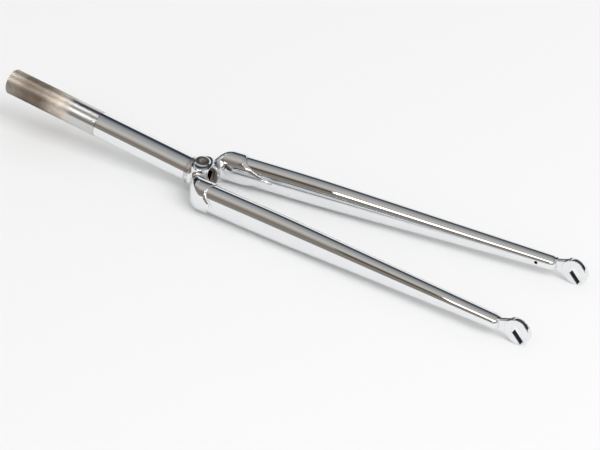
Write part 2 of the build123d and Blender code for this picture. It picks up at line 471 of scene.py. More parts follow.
class TubeGrid:
    """Rings of vertices joined into a tube, with room for drilled holes.

    Quads face outward when the rings turn left around the direction that they advance in.
    """

    def __init__(self, rings: Array, normals: Array) -> None:
        """Starts from rings of vertices.

        Args:
            rings: Places, as rings by sides by three.
            normals: Normals of the same shape.
        """
        self.rows, self.sides = rings.shape[:2]
        self.points: List[Array] = [rings.reshape(-1, 3)]
        self.normals: List[Array] = [normals.reshape(-1, 3)]
        self.count = self.rows * self.sides
        self.faces: List[Tuple[int, ...]] = []
        self.open: Set[Tuple[int, int]] = set()

    def index(self, row: int, column: int) -> int:
        """Number of the vertex in a row and a column, which wraps around."""
        return row * self.sides + column % self.sides

    def cut(self, row: int, column: int, half_rows: int, half_columns: int) -> Tuple[List[int], Array]:
        """Takes a block of quads out, so that a hole can be set in.

        Args:
            row: Middle row of the block.
            column: Middle column of the block.
            half_rows: Rows on each side of the middle.
            half_columns: Columns on each side of the middle.

        Returns:
            The vertices around the block, turning left, and the angle of each from the column direction.
        """
        for i in range(row - half_rows, row + half_rows):
            for j in range(column - half_columns, column + half_columns):
                self.open.add((i, j % self.sides))
        walk = [(-half_rows, j) for j in range(-half_columns, half_columns)]
        walk += [(i, half_columns) for i in range(-half_rows, half_rows)]
        walk += [(half_rows, j) for j in range(half_columns, -half_columns, -1)]
        walk += [(i, -half_columns) for i in range(half_rows, -half_rows, -1)]
        angles = np.array([math.atan2(i / half_rows, j / half_columns) for i, j in walk])
        return [self.index(row + i, column + j) for i, j in walk], angles

    def add_loop(self, points: Array, normals: Array) -> List[int]:
        """Adds a closed loop of vertices.

        Args:
            points: The places.
            normals: Their normals.

        Returns:
            The new vertices' numbers.
        """
        first = self.count
        self.points.append(points)
        self.normals.append(normals)
        self.count += len(points)
        return list(range(first, self.count))

    def join(self, outer: Sequence[int], inner: Sequence[int]) -> None:
        """Joins two loops of the same length with quads.

        Args:
            outer: Vertices of one loop, turning left.
            inner: Vertices of the loop inside it.
        """
        for n in range(len(outer)):
            m = (n + 1) % len(outer)
            self.faces.append((outer[n], outer[m], inner[m], inner[n]))

    def close_rows(self, closed: bool) -> None:
        """Makes the tube's quads, and joins the last row to the first where it is closed.

        Args:
            closed: Whether the last row meets the first.
        """
        for i in range(self.rows if closed else self.rows - 1):
            for j in range(self.sides):
                if (i, j) not in self.open:
                    b = (i + 1) % self.rows
                    corners = ((i, j), (i, j + 1), (b, j + 1), (b, j))
                    self.faces.append(tuple(self.index(row, column) for row, column in corners))

    def arrays(self) -> Tuple[Array, Array]:
        """All the vertices and their normals."""
        return np.concatenate(self.points), np.concatenate(self.normals)


def angle_names(angles: Array) -> List[int]:
    """Angles in whole thousandths of a degree, by which the two rims of a hole are matched."""
    return np.mod(np.round(np.degrees(angles) * ANGLE_PARTS).astype(int), 360 * ANGLE_PARTS).tolist()


# Nodes

def scaled(colour: Colour, share: float) -> Colour:
    """A colour made lighter or darker by a factor."""
    return (colour[0] * share, colour[1] * share, colour[2] * share)


def span(middle: float, reach: float) -> Range:
    """The range that reaches equally far to both sides of a place."""
    return (middle - reach, middle + reach)


class NodeBench:
    """Adds nodes to a tree, with short calls for those that the finishes and the sky share."""

    def __init__(self, tree: bpy.types.NodeTree) -> None:
        """Keeps the tree to build in, a material's or the world's."""
        self.tree = tree

    def node(self, kind: str, **inputs: Union[Number, Paint]) -> bpy.types.Node:
        """A new node with some of its inputs filled.

        Args:
            kind: The node's kind.
            inputs: Names of inputs, each with a socket, a plain number or a plain colour.

        Returns:
            The new node.
        """
        node = self.tree.nodes.new("ShaderNode" + kind)
        for name, value in inputs.items():
            self.fill(node.inputs[name], value)
        return node

    def link(self, source: Socket, target: Socket) -> None:
        """Joins two sockets."""
        self.tree.links.new(source, target)

    def fill(self, socket: Socket, value: Union[Number, Paint]) -> None:
        """Joins a socket to another, or sets its own value.

        Args:
            socket: The socket to fill.
            value: Another socket, a plain number or a plain colour.
        """
        if isinstance(value, Socket):
            self.link(value, socket)
        elif isinstance(value, tuple):
            socket.default_value = (*value, 1.0)
        else:
            socket.default_value = value

    def calculate(self, kind: str, *values: Number) -> Socket:
        """A sum, product or other figure from two or three numbers.

        Args:
            kind: The node's word for what it does.
            values: The numbers, each a socket or a plain number.

        Returns:
            The socket with the result.
        """
        node = self.node("Math")
        node.operation = kind
        for socket, value in zip(node.inputs, values):
            self.fill(socket, value)
        return node.outputs["Value"]

    def ramp(self, source: Socket, stops: Stops) -> Socket:
        """A colour that follows a number.

        Args:
            source: The socket with the number.
            stops: Places on the ramp and their colours.

        Returns:
            The socket with the colour.
        """
        node = self.node("ValToRGB", Fac=source)
        elements = node.color_ramp.elements
        while len(elements) < len(stops):
            elements.new(0.5)
        for element, (place, colour) in zip(elements, stops):
            element.position = place
            element.color = (*colour, 1.0)
        return node.outputs["Color"]

    def remap(self, source: Socket, known: Range, wanted: Range = (0.0, 1.0)) -> Socket:
        """A number moved from one range to another, held at the ends.

        Args:
            source: The socket with the number.
            known: The range that it comes in.
            wanted: The range that it takes.

        Returns:
            The socket with the moved number.
        """
        node = self.node("MapRange", Value=source)
        for name, value in zip(("From Min", "From Max", "To Min", "To Max"), (*known, *wanted)):
            self.fill(node.inputs[name], value)
        return node.outputs["Result"]


class Painter(NodeBench):
    """Builds one material around a single surface shader."""

    # Numbers of the mix node's two inputs and its output, for each kind of mix
    MIX_SOCKETS = {"FLOAT": (2, 3, 0), "RGBA": (6, 7, 2)}

    def __init__(self, name: str) -> None:
        """Starts a material with one surface shader.

        Args:
            name: The material's name.
        """
        self.material = bpy.data.materials.new(name)
        self.material.use_nodes = True
        super().__init__(self.material.node_tree)
        self.shader = self.tree.nodes["Principled BSDF"]
        self.places = self.node("TexCoord").outputs["Object"]

    def set(self, name: str, value: Union[Number, Paint]) -> None:
        """Joins or sets one of the shader's inputs."""
        self.fill(self.shader.inputs[name], value)

    def attribute(self, zone: Zone) -> Socket:
        """The number that the mesh carries for a zone.

        Args:
            zone: Which number it is.

        Returns:
            The socket with the number.
        """
        node = self.node("Attribute")
        node.attribute_name = zone.value
        return node.outputs["Fac"]

    def noise(self, scale: float, detail: float) -> Socket:
        """A noise pattern over the surface, with so many features in a metre and so many finer layers."""
        return self.node("TexNoise", Vector=self.places, Scale=scale, Detail=detail).outputs["Fac"]

    def _mix(self, kind: str, share: Socket, first: Union[Number, Paint], second: Union[Number, Paint]) -> Socket:
        """A mix of two numbers or two colours.

        Args:
            kind: Which of the two kinds it is.
            share: Share of the second one.
            first: First number or colour.
            second: Second number or colour.

        Returns:
            The socket with the mix.
        """
        node = self.node("Mix", Factor=share)
        node.data_type = kind
        low, high, result = self.MIX_SOCKETS[kind]
        self.fill(node.inputs[low], first)
        self.fill(node.inputs[high], second)
        return node.outputs[result]

    def mix(self, share: Socket, first: Paint, second: Paint) -> Socket:
        """A mix of two colours, each a socket or a plain colour."""
        return self._mix("RGBA", share, first, second)

    def mix_value(self, share: Socket, first: Number, second: Number) -> Socket:
        """A mix of two numbers, each a socket or a plain number."""
        return self._mix("FLOAT", share, first, second)

    def brush(self, amount: Socket) -> None:
        """Stretches the highlights across fine marks that run around a tube.

        Args:
            amount: The socket with the share of stretching.
        """
        node = self.node("Tangent")
        node.direction_type = "UV_MAP"
        node.uv_map = WRAP
        self.set("Tangent", node.outputs["Tangent"])
        self.set("Anisotropic", amount)

    def bump(self, height: Socket, strength: float, distance: float) -> None:
        """Gives the surface small relief, by the share that shows and the height in metres."""
        node = self.node("Bump", Height=height, Strength=strength, Distance=distance)
        self.set("Normal", node.outputs["Normal"])


# Finishes

@dataclass(frozen=True)
class ChromeFinish:
    """Mirror chrome with faint polishing marks and haze."""

    name: str
    colour: Colour = (0.88, 0.89, 0.90)
    dulling: float = 0.965
    haze_scale: float = 55.0
    haze_range: Range = (0.3, 0.7)
    roughness: float = 0.018
    mark_roughness: float = 0.03
    mark_scale: float = 260.0
    mark_range: Range = (0.35, 0.75)
    wave_scale: float = 24.0
    wave_strength: float = 0.25
    wave_height: float = 0.00002

    def hazed(self, painter: Painter, scale: float) -> Socket:
        """The chrome's colour, a little duller in soft patches.

        Args:
            painter: The material in the making.
            scale: How many patches there are in a metre.

        Returns:
            The socket with the colour.
        """
        low, high = self.haze_range
        haze = painter.noise(scale, detail=6.0)
        return painter.ramp(haze, [(low, scaled(self.colour, self.dulling)), (high, self.colour)])

    def waved(self, painter: Painter, scale: float) -> None:
        """Makes the mirror a little uneven, as plating over cast or drawn steel is."""
        painter.bump(painter.noise(scale, detail=1.0), self.wave_strength, self.wave_height)

    def build(self) -> bpy.types.Material:
        """Makes the material.

        Returns:
            The finished material.
        """
        painter = Painter(self.name)
        painter.set("Metallic", 1.0)
        painter.set("Base Color", self.hazed(painter, self.haze_scale))
        marks = painter.noise(self.mark_scale, detail=3.0)
        rough = painter.remap(marks, self.mark_range, (self.roughness, self.roughness + self.mark_roughness))
        painter.set("Roughness", rough)
        self.waved(painter, self.wave_scale)
        return painter.material


@dataclass(frozen=True)
class BareSteelFinish:
    """Brown-grey bare steel: turned, a little oxidised, with no plating, and with painted shade on its lower side.

    Tints are places along the steerer and their colours. Ranges are where a noise or a direction starts and ends.
    """

    colour: Colour = (0.235, 0.195, 0.16)
    dark: Colour = (0.15, 0.12, 0.095)
    rust: Colour = (0.16, 0.095, 0.055)
    edge: Colour = (0.25, 0.22, 0.19)
    roughness: Range = (0.40, 0.56)
    metallic: float = 0.75
    spread: float = 0.55
    patch_scale: float = 70.0
    patch_range: Range = (0.28, 0.52)
    patch_share: float = 0.38
    rust_scale: float = 38.0
    rust_range: Range = (0.60, 0.72)
    rust_share: float = 0.55
    # Painted shade: a share of a dark tone laid on the tube's lower side, fading out along it before the plating
    painted_shade_range: Range = (0.15, 0.65)
    painted_shade_share: float = 0.36
    painted_shade_fade: Range = (-176.0, -155.0)
    painted_shade_tone: float = 0.3
    tints: Tuple[Tuple[float, Colour], ...] = (
        (-217.2, (0.58, 0.52, 0.46)),
        (-208.0, (0.48, 0.42, 0.36)),
        (-196.0, (0.295, 0.245, 0.20)),
        (-178.0, (0.295, 0.245, 0.20)),
        (-169.5, (0.42, 0.36, 0.30)),
        (-162.0, (0.60, 0.52, 0.445)),
        (-154.0, (0.78, 0.70, 0.61)),
        (-143.5, (0.82, 0.75, 0.68)),
    )

    def weathered_and_shaded(self, painter: Painter, along: Socket, end: float) -> Socket:
        """The steel's colour: tints along the tube, dark patches, rust, and painted shade on its lower side.

        Args:
            painter: The material in the making.
            along: The socket with the place along the tube.
            end: Where the bare steel ends.

        Returns:
            The socket with the colour.
        """
        first = self.tints[0][0]
        stops = [((place - first) / (end - first), colour) for place, colour in self.tints]
        steel = painter.ramp(painter.remap(along, (first, end)), stops)
        patch = painter.noise(self.patch_scale, detail=9.0)
        steel = painter.mix(painter.remap(patch, self.patch_range, (self.patch_share, 0.0)), steel, self.dark)
        rust = painter.noise(self.rust_scale, detail=10.0)
        steel = painter.mix(painter.remap(rust, self.rust_range, (0.0, self.rust_share)), steel, self.rust)
        # Painted shade: the tube's lower side is darkened by its normal's direction, fading out along the tube
        painted_shade = painter.remap(painter.attribute(Zone.UNDER), self.painted_shade_range, (0.0, self.painted_shade_share))
        painted_shade = painter.calculate("MULTIPLY", painted_shade, painter.remap(along, self.painted_shade_fade, (1.0, 0.0)))
        return painter.mix(painted_shade, steel, scaled(self.dark, self.painted_shade_tone))


@dataclass(frozen=True)
class FlashPlatingFinish:
    """Thin plating over turned steel, which blurs what it mirrors along the tube."""

    colour: Colour = (0.66, 0.66, 0.655)
    roughness: float = 0.29
    spread: float = 0.95


@dataclass(frozen=True)
class SteererFinish:
    """The steerer's three zones: bare steel, thin plating and mirror chrome."""

    chrome: ChromeFinish
    plating: FlashPlatingFinish
    bare: BareSteelFinish
    bare_end: float = -143.5
    bare_fade: float = 3.0
    wander: float = 3.0
    wander_scale: float = 230.0
    wander_range: Range = (0.3, 0.7)
    plating_end: float = -111.2
    plating_fade: float = 0.25
    ring_colour: Colour = (0.34, 0.33, 0.32)
    ring_fade: Range = (0.35, 0.85)
    grain_scale: float = 900.0
    grain_range: Range = (0.3, 0.7)
    grain_strength: float = 0.12
    grain_height: float = 0.00002

    def build(self) -> bpy.types.Material:
        """Makes the material, with its zones set by the place along the tube.

        Returns:
            The finished material.
        """
        painter = Painter("steerer_zones")
        along = painter.attribute(Zone.ALONG)
        blotch = painter.noise(self.wander_scale, detail=8.0)
        edge = painter.calculate("ADD", along, painter.remap(blotch, self.wander_range, span(0.0, self.wander)))
        plated = painter.remap(edge, span(self.bare_end, self.bare_fade))
        mirror = painter.remap(along, span(self.plating_end, self.plating_fade))
        painter.set("Metallic", painter.mix_value(plated, self.bare.metallic, 1.0))
        painter.set("Specular Tint", painter.mix(plated, self.bare.edge, WHITE))
        colour = painter.mix(plated, self.bare.weathered_and_shaded(painter, edge, self.bare_end), self.plating.colour)
        colour = painter.mix(mirror, colour, self.chrome.colour)
        near, far = self.ring_fade
        past_ring = painter.remap(along, (self.plating_end + near, self.plating_end + far), (1.0, 0.0))
        ring = painter.calculate("MULTIPLY", mirror, past_ring)
        painter.set("Base Color", painter.mix(ring, colour, self.ring_colour))
        grain = painter.noise(self.grain_scale, detail=4.0)
        rough = painter.remap(grain, self.grain_range, self.bare.roughness)
        rough = painter.mix_value(plated, rough, self.plating.roughness)
        painter.set("Roughness", painter.mix_value(mirror, rough, self.chrome.roughness))
        spread = painter.mix_value(plated, self.bare.spread, self.plating.spread)
        painter.brush(painter.mix_value(mirror, spread, 0.0))
        painter.bump(grain, self.grain_strength, self.grain_height)
        return painter.material


@dataclass(frozen=True)
class CrownFinish:
    """Chrome on the casting, bare steel in its holes and a rough ring at the race seat.

    Tones are places on the blotches and how light the colour is there.
    """

    chrome: ChromeFinish
    bare: BareSteelFinish
    haze_scale: float = 60.0
    wave_scale: float = 45.0
    blotch_scale: float = 330.0
    seat_colour: Colour = (0.52, 0.49, 0.45)
    seat_roughness: float = 0.33
    seat_range: Range = (0.35, 0.6)
    seat_share: Range = (0.25, 1.0)
    worn_colour: Colour = (0.27, 0.235, 0.20)
    worn_roughness: float = 0.4
    worn_tones: Tuple[Range, ...] = ((0.35, 0.6), (0.65, 1.3))
    hole_metallic: float = 0.3
    hole_roughness: float = 0.55
    hole_tones: Tuple[Range, ...] = ((0.3, 2.0), (0.55, 2.2), (0.75, 2.0))

    def build(self) -> bpy.types.Material:
        """Makes the material, with its zones set by marks on the mesh.

        Returns:
            The finished material.
        """
        painter = Painter("crown_zones")
        hole, seat, worn = (painter.attribute(zone) for zone in (Zone.BARE, Zone.SEAT, Zone.WORN))
        blotch = painter.noise(self.blotch_scale, detail=6.0)
        seat = painter.calculate("MULTIPLY", seat, painter.remap(blotch, self.seat_range, self.seat_share))
        painter.set("Metallic", painter.mix_value(hole, 1.0, self.hole_metallic))
        steels = (self.bare.dark, self.bare.colour, self.bare.rust)
        rubbed = [(place, scaled(self.worn_colour, tone)) for place, tone in self.worn_tones]
        inside = [(place, scaled(steel, tone)) for steel, (place, tone) in zip(steels, self.hole_tones)]
        colour = painter.mix(seat, self.chrome.hazed(painter, self.haze_scale), self.seat_colour)
        colour = painter.mix(worn, colour, painter.ramp(blotch, rubbed))
        painter.set("Base Color", painter.mix(hole, colour, painter.ramp(blotch, inside)))
        rough: Number = self.chrome.roughness
        for zone, value in ((seat, self.seat_roughness), (worn, self.worn_roughness), (hole, self.hole_roughness)):
            rough = painter.mix_value(zone, rough, value)
        painter.set("Roughness", rough)
        self.chrome.waved(painter, self.wave_scale)
        return painter.material


# Pieces

@dataclass
class SteererTube:
    """The steerer: a plain tube with a rounded, saw-cut upper end and a drilled brake bolt hole.

    Hole margins are the room around a hole, along and across. The painted shade's way is its direction across and
    forward, to the tube's lower side.
    """

    lines: ForkLines
    outer_radius: float = 12.7
    wall: float = 1.6
    top: float = -217.2
    bottom: float = 13.8
    edge: float = 0.5
    front_hole: float = 3.1
    rear_hole: float = 4.1
    hole_edge: float = 0.25
    hole_margins: Range = (0.9, 0.8)
    step: float = 0.53
    fine_rings: int = 10
    fine_gap: float = 1.0
    rings: int = 38
    edge_rings: int = 6
    sides: int = 160
    painted_shade_way: Range = (-0.8, -0.6)
    wrap_length: float = 300.0

    def _path(self) -> Tuple[Array, Array, int, int]:
        """The tube's wall in section, from its lower end up the outside and down the bore.

        Returns:
            Places along and out from the axis, their normals, and the rows at the bolt hole outside and inside.
        """
        inner, edge = self.outer_radius - self.wall, self.edge
        drill = self.lines.blade_start_along
        fine = drill + self.step * np.arange(-self.fine_rings, self.fine_rings + 1)
        upper = np.linspace(self.top + edge, fine[0] - self.fine_gap, self.rings)
        run = np.concatenate([upper, fine, [self.bottom]])
        rows = [(a, self.outer_radius, 0.0, 1.0) for a in run[::-1]]
        quarter = np.linspace(0.0, math.pi / 2, self.edge_rings)
        for middle, turns in ((self.outer_radius - edge, quarter[1:]), (inner + edge, quarter[:-1] + math.pi / 2)):
            for s, c in zip(np.sin(turns), np.cos(turns)):
                rows.append((self.top + edge - edge * s, middle + edge * c, -s, c))
        rows += [(a, inner, 0.0, -1.0) for a in run]
        table = np.array(rows)
        outside = len(run) - 1 - int(np.argmin(np.abs(run - drill)))
        return table[:, :2], table[:, 2:], outside, len(rows) - 1 - outside

    def _turned(self, table: Array) -> Array:
        """Turns pairs of lengths, along and out from the axis, into rings around it.

        Args:
            table: One pair for each ring.

        Returns:
            Places, as rings by sides by three.
        """
        turns = np.linspace(0.0, FULL_TURN, self.sides, endpoint=False)
        sine, cosine = np.sin(turns), np.cos(turns)
        return np.stack([np.column_stack([np.full(self.sides, a), r * sine, r * cosine]) for a, r in table])

    def _circle(self, radius: float, level: float, angles: Array, up: float) -> Array:
        """A circle drilled across the tube, laid on one of its cylinders.

        Args:
            radius: The circle's radius.
            level: Radius of the cylinder.
            angles: Angles around the circle, from the across direction.
            up: 1 at the front and -1 at the rear.

        Returns:
            Places in fork coordinates.
        """
        across = radius * np.cos(angles)
        along = self.lines.blade_start_along + radius * np.sin(angles)
        return np.column_stack([along, across, up * np.sqrt(level**2 - across**2)])

    def _drill(self, grid: TubeGrid, outside: int, inside: int, radius: float, up: float) -> None:
        """Drills one side's bolt hole through the wall.

        Args:
            grid: The tube.
            outside: Row of the hole on the outside.
            inside: Row of the hole in the bore.
            radius: The hole's radius.
            up: 1 at the front and -1 at the rear.
        """
        inner = self.outer_radius - self.wall
        column = 0 if up > 0 else grid.sides // 2
        row_margin, column_margin = self.hole_margins
        half_rows = int((radius + row_margin) / self.step) + 1
        half_columns = int(math.degrees(math.asin((radius + column_margin) / inner)) * grid.sides / 360) + 1
        rims: List[Dict[int, int]] = []
        for row, level, sense in ((outside, self.outer_radius, -1.0), (inside, inner, 1.0)):
            loop, angles = grid.cut(row, column, half_rows, half_columns)
            drawn = np.arctan2(sense * np.sin(angles), up * np.cos(angles))
            face = self._circle(radius + self.hole_edge, level, drawn, up)
            wall = self._circle(radius, level + sense * self.hole_edge, drawn, up)
            skin = np.column_stack([np.zeros(len(face)), face[:, 1], face[:, 2]]) / level * -sense
            toward = np.column_stack([-np.sin(drawn), -np.cos(drawn), np.zeros(len(drawn))])
            lip = grid.add_loop(face, skin)
            rim = grid.add_loop(wall, toward)
            grid.join(loop, lip)
            grid.join(lip, rim)
            rims.append(dict(zip(angle_names(drawn), rim)))
        order = list(rims[0].keys())
        grid.join([rims[0][a] for a in order], [rims[1][a] for a in order])

    def build(self) -> bpy.types.Object:
        """Turns the wall about the steerer axis and drills it.

        Returns:
            The tube.
        """
        path, slope, outside, inside = self._path()
        grid = TubeGrid(self._turned(path), self._turned(slope))
        for radius, up in ((self.front_hole, 1.0), (self.rear_hole, -1.0)):
            self._drill(grid, outside, inside, radius, up)
        grid.close_rows(closed=True)
        points, normals = grid.arrays()
        piece = make_object(self.lines, "steerer", points, grid.faces, normals)
        self._wrap(piece, points)
        # Painted shade: how far each normal points along the shade's way, for the finish to paint darker
        across, forward = self.painted_shade_way
        add_zone(piece, Zone.ALONG, points[:, 0])
        add_zone(piece, Zone.UNDER, across * normals[:, 1] + forward * normals[:, 2])
        return piece

    def _wrap(self, piece: bpy.types.Object, points: Array) -> None:
        """Lays a wrap on the tube with its first direction along it.

        Args:
            piece: The tube.
            points: The vertices in fork coordinates.
        """
        mesh = piece.data
        corners = np.empty(len(mesh.loops), int)
        mesh.loops.foreach_get("vertex_index", corners)
        along = points[corners, 0] / self.wrap_length
        around = np.arctan2(points[corners, 1], points[corners, 2]) / FULL_TURN
        starts = np.empty(len(mesh.polygons), int)
        mesh.polygons.foreach_get("loop_start", starts)
        first = np.repeat(around[starts], np.diff(np.append(starts, len(corners))))
        around = around + np.round(first - around)
        mesh.uv_layers.new(name=WRAP).data.foreach_set("uv", np.column_stack([along, around]).ravel())


@dataclass
class Blade:
    """One blade: an oval tube that tapers to a round, domed tip, with a vent hole on its inner side.

    Ring gaps lie above and below the close rings at the vent, and its cut is rows and columns to each side. The probe
    is how far down and around the slope of the surface is measured.
    """

    lines: ForkLines
    side: Side
    width: float = 21.5
    depth: float = 30.0
    tip_diameter: float = 14.2
    straight: float = 107.0
    taper_blend: float = 22.0
    tip_round: float = 6.0
    wall: float = 1.1
    solid_tip: float = 15.0
    mitre_angle: float = 32.5
    mitre_place: float = 13.0
    mitre_depth: float = 6.5
    vent_radius: float = 1.5
    vent_from_tip: float = 19.0
    vent_edge: float = 0.3
    vent_pitch: float = 0.72
    vent_rings: int = 5
    vent_cut: Tuple[int, int] = (4, 7)
    first_ring: float = 24.0
    ring_gaps: Range = (2.0, 1.5)
    rings: int = 110
    bore_rings: int = 36
    end_rings: int = 6
    mitre_rings: int = 5
    dome_rings: int = 15
    sides: int = 120
    probe: Range = (0.05, 0.001)

    @cached_property
    def axis(self) -> BladeLine:
        """The blade's axis."""
        return BladeLine.of(self.lines, self.side)

    @property
    def vent_place(self) -> float:
        """Distance of the vent hole's middle down the blade."""
        return self.lines.blade_length - self.vent_from_tip

    def _taper(self, place: Array) -> Array:
        """How far the taper has run at distances down the blade, with a soft start."""
        offset = place - self.straight
        return (offset + np.sqrt(offset**2 + self.taper_blend**2)) / 2

    def half_sizes(self, place: Array) -> Tuple[Array, Array]:
        """Half width and half depth at a distance down the blade.

        Args:
            place: Distances down the blade.

        Returns:
            Half widths and half depths.
        """
        share = self._taper(np.asarray(place, float)) / self._taper(np.array(self.lines.blade_length))
        tip = self.tip_diameter / 2
        return self.width / 2 + share * (tip - self.width / 2), self.depth / 2 + share * (tip - self.depth / 2)

    def surface(self, place: Array, turns: Array, inset: float = 0.0) -> Array:
        """Places at distances down the blade and angles around it, on its skin or an inset under it."""
        half_width, half_depth = self.half_sizes(place)
        return self.axis.place(place, (half_width - inset) * np.cos(turns), (half_depth - inset) * np.sin(turns))

    def slope(self, place: Array, turns: Array, inset: float = 0.0) -> Array:
        """Outward normals at places on the skin or under it.

        Args:
            place: Distances down the blade.
            turns: Angles around it, from the outward direction.
            inset: How far the points lie under the skin.

        Returns:
            One unit vector for each place.
        """
        far, turned = self.probe
        down = self.surface(place + far, turns, inset) - self.surface(place - far, turns, inset)
        around = self.surface(place, turns + turned, inset) - self.surface(place, turns - turned, inset)
        normal = np.cross(around, down) * self.side.value
        return normal / np.linalg.norm(normal, axis=-1, keepdims=True)

    def _ring_places(self, count: int, last: Sequence[float]) -> Tuple[Array, int]:
        """Where the rings lie, close together around the vent hole.

        Args:
            count: Number of rings above the vent hole.
            last: Distances of the rings below it.

        Returns:
            Distances down the blade, and the number of the ring at the vent hole.
        """
        fine = self.vent_place + self.vent_pitch * np.arange(-self.vent_rings, self.vent_rings + 1)
        upper = np.linspace(self.first_ring, fine[0] - self.ring_gaps[0], count)
        return np.concatenate([upper, fine, last]), count + self.vent_rings

    def _dome(self, turns: Array) -> Tuple[List[Array], List[Array]]:
        """The rounded tip.

        Args:
            turns: Angles around the blade.

        Returns:
            Its rings and their normals.
        """
        flat = self.tip_diameter / 2 - self.tip_round
        out = self.axis.place(np.zeros(self.sides), np.cos(turns), np.sin(turns)) - self.axis.start
        rings, normals = [], []
        for turn in np.linspace(0.0, math.pi / 2, self.dome_rings + 1)[1:]:
            radius = flat + self.tip_round * math.cos(turn)
            u = np.full(self.sides, self.lines.blade_length - self.tip_round + self.tip_round * math.sin(turn))
            rings.append(self.axis.place(u, radius * np.cos(turns), radius * np.sin(turns)))
            normals.append(out * math.cos(turn) + self.axis.along * math.sin(turn))
        return rings, normals

    def build(self) -> bpy.types.Object:
        """Lofts the bore and the outside, rounds the tip and drills the vent.

        Returns:
            The blade.
        """
        turns = self.side.value * np.linspace(0.0, FULL_TURN, self.sides, endpoint=False)
        full = self.lines.blade_length
        bore_places, bore_row = self._ring_places(self.bore_rings, [full - self.solid_tip])
        bore = [np.full(self.sides, u) for u in bore_places[::-1]] + [self._mitre(turns, self.wall)]
        below_vent = self.vent_place + self.vent_pitch * self.vent_rings + self.ring_gaps[1]
        places, row = self._ring_places(self.rings, np.linspace(below_vent, full - self.tip_round, self.end_rings))
        mitre = self._mitre(turns, 0.0)
        shares = np.linspace(0.0, 1.0, self.mitre_rings + 1)[:-1]
        skin = [mitre + (places[0] - mitre) * share for share in shares] + [np.full(self.sides, u) for u in places]
        dome, dome_normals = self._dome(turns)
        rings = [self.surface(u, turns, self.wall) for u in bore] + [self.surface(u, turns) for u in skin]
        normals = [-self.slope(u, turns, self.wall) for u in bore] + [self.slope(u, turns) for u in skin]
        grid = TubeGrid(np.stack(rings + dome), np.stack(normals + dome_normals))
        self._vent(grid, len(bore) + self.mitre_rings + row, len(bore_places) - 1 - bore_row)
        grid.close_rows(closed=False)
        grid.faces.append(tuple(range(self.sides))[::-1])
        grid.faces.append(tuple(range((grid.rows - 1) * self.sides, grid.rows * self.sides)))
        points, slopes = grid.arrays()
        return make_object(self.lines, self.side.word + "_fork_blade", points, grid.faces, slopes)

    def _vent_circle(self, angles: Array, radius: float, inset: float) -> Tuple[Array, Array]:
        """A circle around the vent, laid on the blade's inner side.

        Args:
            angles: Angles around the circle.
            radius: The circle's radius.
            inset: How far it lies under the skin.

        Returns:
            Distances down the blade and angles around it.
        """
        level = float(self.half_sizes(np.array(self.vent_place))[1]) - inset
        turn = math.pi + radius * np.cos(angles) / level
        return self.vent_place + radius * np.sin(angles), turn * self.side.value

    def _vent(self, grid: TubeGrid, row: int, bore_row: int) -> None:
        """Drills the vent hole through the inner side's wall.

        Args:
            grid: The blade.
            row: Ring at the hole's middle, outside.
            bore_row: Ring at the hole's middle, in the bore.
        """
        loop, angles = grid.cut(row, grid.sides // 2, *self.vent_cut)
        bore_loop, bore_angles = grid.cut(bore_row, grid.sides // 2, *self.vent_cut)
        across = np.outer(np.cos(angles), self.axis.forward) * self.side.value
        toward = across - np.outer(np.sin(angles), self.axis.along)
        place, turn = self._vent_circle(angles, self.vent_radius + self.vent_edge, 0.0)
        lip = grid.add_loop(self.surface(place, turn), self.slope(place, turn))
        place, turn = self._vent_circle(angles, self.vent_radius, 0.0)
        rim = grid.add_loop(self.surface(place, turn) + self.axis.outward * self.vent_edge, toward)
        place, turn = self._vent_circle(angles, self.vent_radius, self.wall)
        bore_rim = grid.add_loop(self.surface(place, turn, self.wall), toward)
        for outer, inner in ((loop, lip), (lip, rim), (rim, bore_rim)):
            grid.join(outer, inner)
        named = dict(zip(angle_names(angles), bore_rim))
        grid.join(bore_loop, [named[name] for name in angle_names(-bore_angles)])

    def _mitre(self, turns: Array, inset: float) -> Array:
        """Where the blade's upper end is cut under the crown's shoulder.

        Args:
            turns: Angles around the blade.
            inset: How far under the skin the cut is followed.

        Returns:
            Distances down the blade, one for each angle.
        """
        turn = math.radians(self.mitre_angle)
        up = np.array([-math.cos(turn), self.side.value * math.sin(turn), 0.0])
        crest = np.array([self.mitre_place, self.side.value * self.lines.blade_spacing / 2, 0.0])
        half_width, half_depth = self.width / 2 - inset, self.depth / 2 - inset
        rim = self.axis.place(np.zeros(len(turns)), half_width * np.cos(turns), half_depth * np.sin(turns))
        return ((crest - up * self.mitre_depth - rim) @ up) / (self.axis.along @ up)


